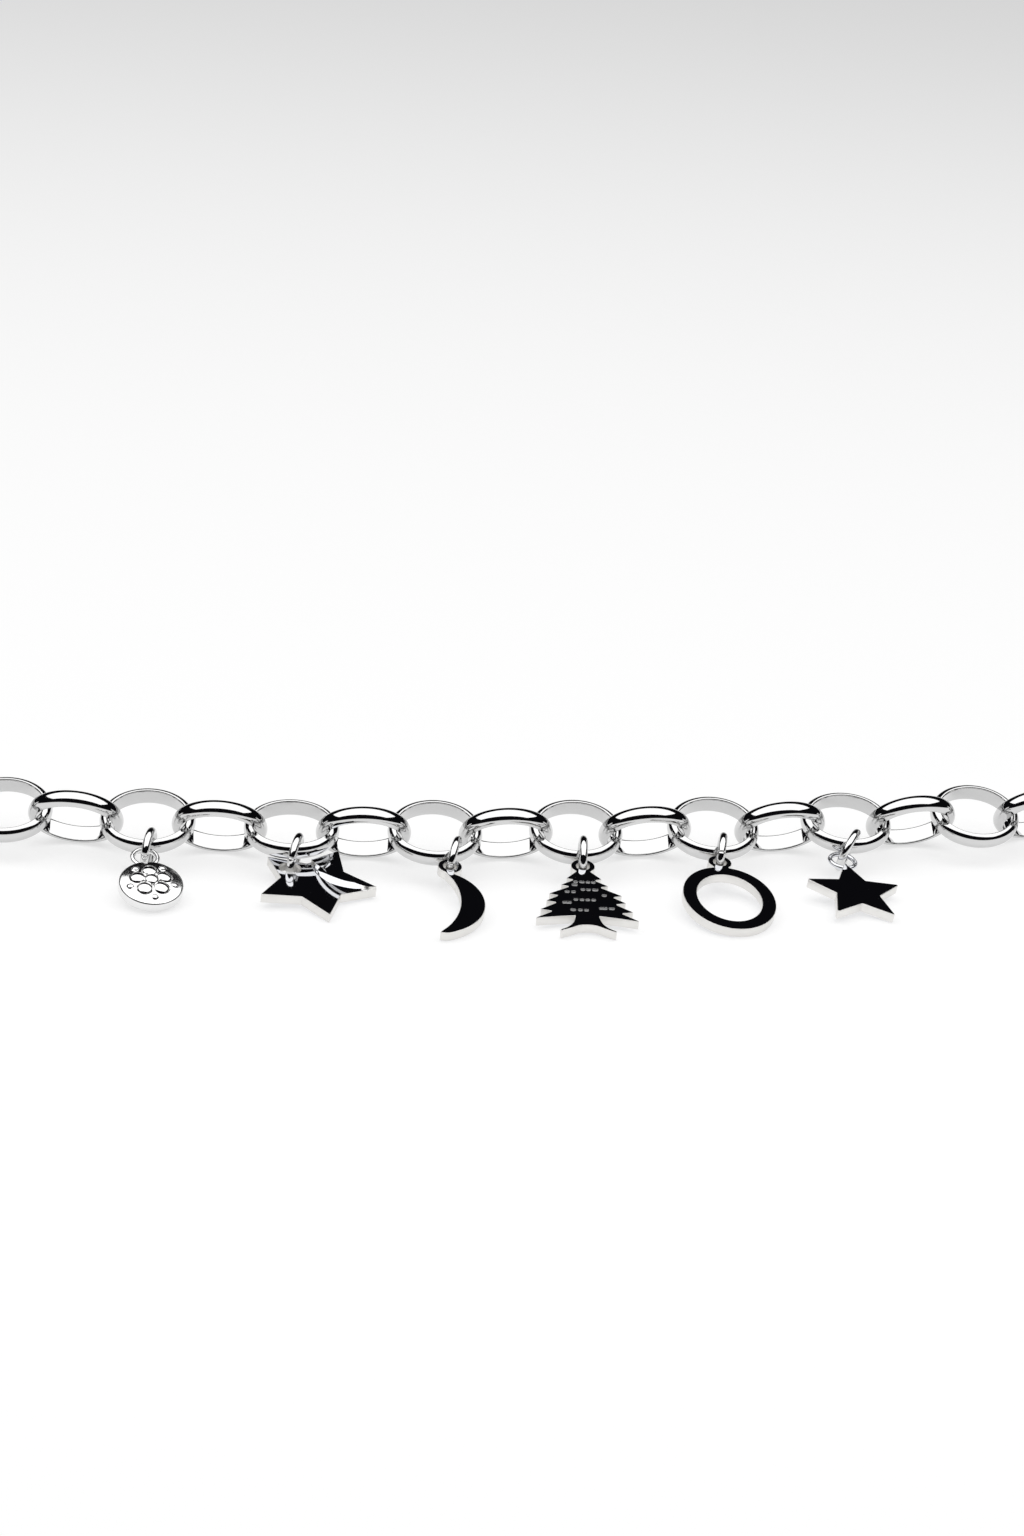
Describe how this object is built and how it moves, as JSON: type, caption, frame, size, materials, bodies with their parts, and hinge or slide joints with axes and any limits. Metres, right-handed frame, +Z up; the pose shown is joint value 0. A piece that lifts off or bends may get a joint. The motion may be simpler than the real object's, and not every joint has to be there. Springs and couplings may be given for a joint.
{
  "type": "charm bracelet, a steel link chain with lying charms and a closed clasp",
  "caption": "Polished steel bracelet of domed oval links, laid open on a surface, with flat and cast charms on jump rings and a pear-shaped clasp at one end.",
  "frame": {"origin": "middle of the bracelet's box, on the surface that it lies on", "axes": "+X along the chain from the clasp's end to the free end, +Z up from the surface, the charms towards -Y"},
  "size_m": [0.1846, 0.0436, 0.0075],
  "materials": {
    "link_steel": "mirror polished stainless steel",
    "jump_ring_steel": "polished stainless steel wire",
    "round_charm_steel": "cast steel, bright high spots and darkened hollows",
    "star_charm_steel": "mirror polished plate that shows dark surroundings, bright cut edges",
    "crescent_charm_steel": "mirror polished plate that shows dark surroundings, bright cut edges",
    "tree_charm_steel": "polished plate with small shallow pits",
    "hoop_charm_steel": "mirror polished plate that shows dark surroundings, bright cut edges",
    "small_star_charm_steel": "mirror polished plate with grained, bright cut edges",
    "clasp_steel": "polished stainless steel"
  },
  "bodies": {
    "root": {"link_01": "link_steel", "link_02": "link_steel", "link_03": "link_steel", "link_04": "link_steel", "link_05": "link_steel", "link_06": "link_steel", "link_07": "link_steel", "link_08": "link_steel", "link_09": "link_steel", "link_10": "link_steel", "link_11": "link_steel", "link_12": "link_steel", "link_13": "link_steel", "link_14": "link_steel", "link_15": "link_steel", "link_16": "link_steel", "link_17": "link_steel", "link_18": "link_steel", "link_19": "link_steel", "link_20": "link_steel", "link_21": "link_steel", "link_22": "link_steel", "link_23": "link_steel", "round_jump_ring": "jump_ring_steel", "round_charm": "round_charm_steel", "star_jump_ring": "jump_ring_steel", "star_charm": "star_charm_steel", "crescent_jump_ring": "jump_ring_steel", "crescent_charm": "crescent_charm_steel", "tree_jump_ring": "jump_ring_steel", "tree_charm": "tree_charm_steel", "hoop_jump_ring": "jump_ring_steel", "hoop_charm": "hoop_charm_steel", "small_star_jump_ring": "jump_ring_steel", "small_star_charm": "small_star_charm_steel", "clasp_jump_ring": "jump_ring_steel", "clasp": "clasp_steel"}
  },
  "joints": []
}
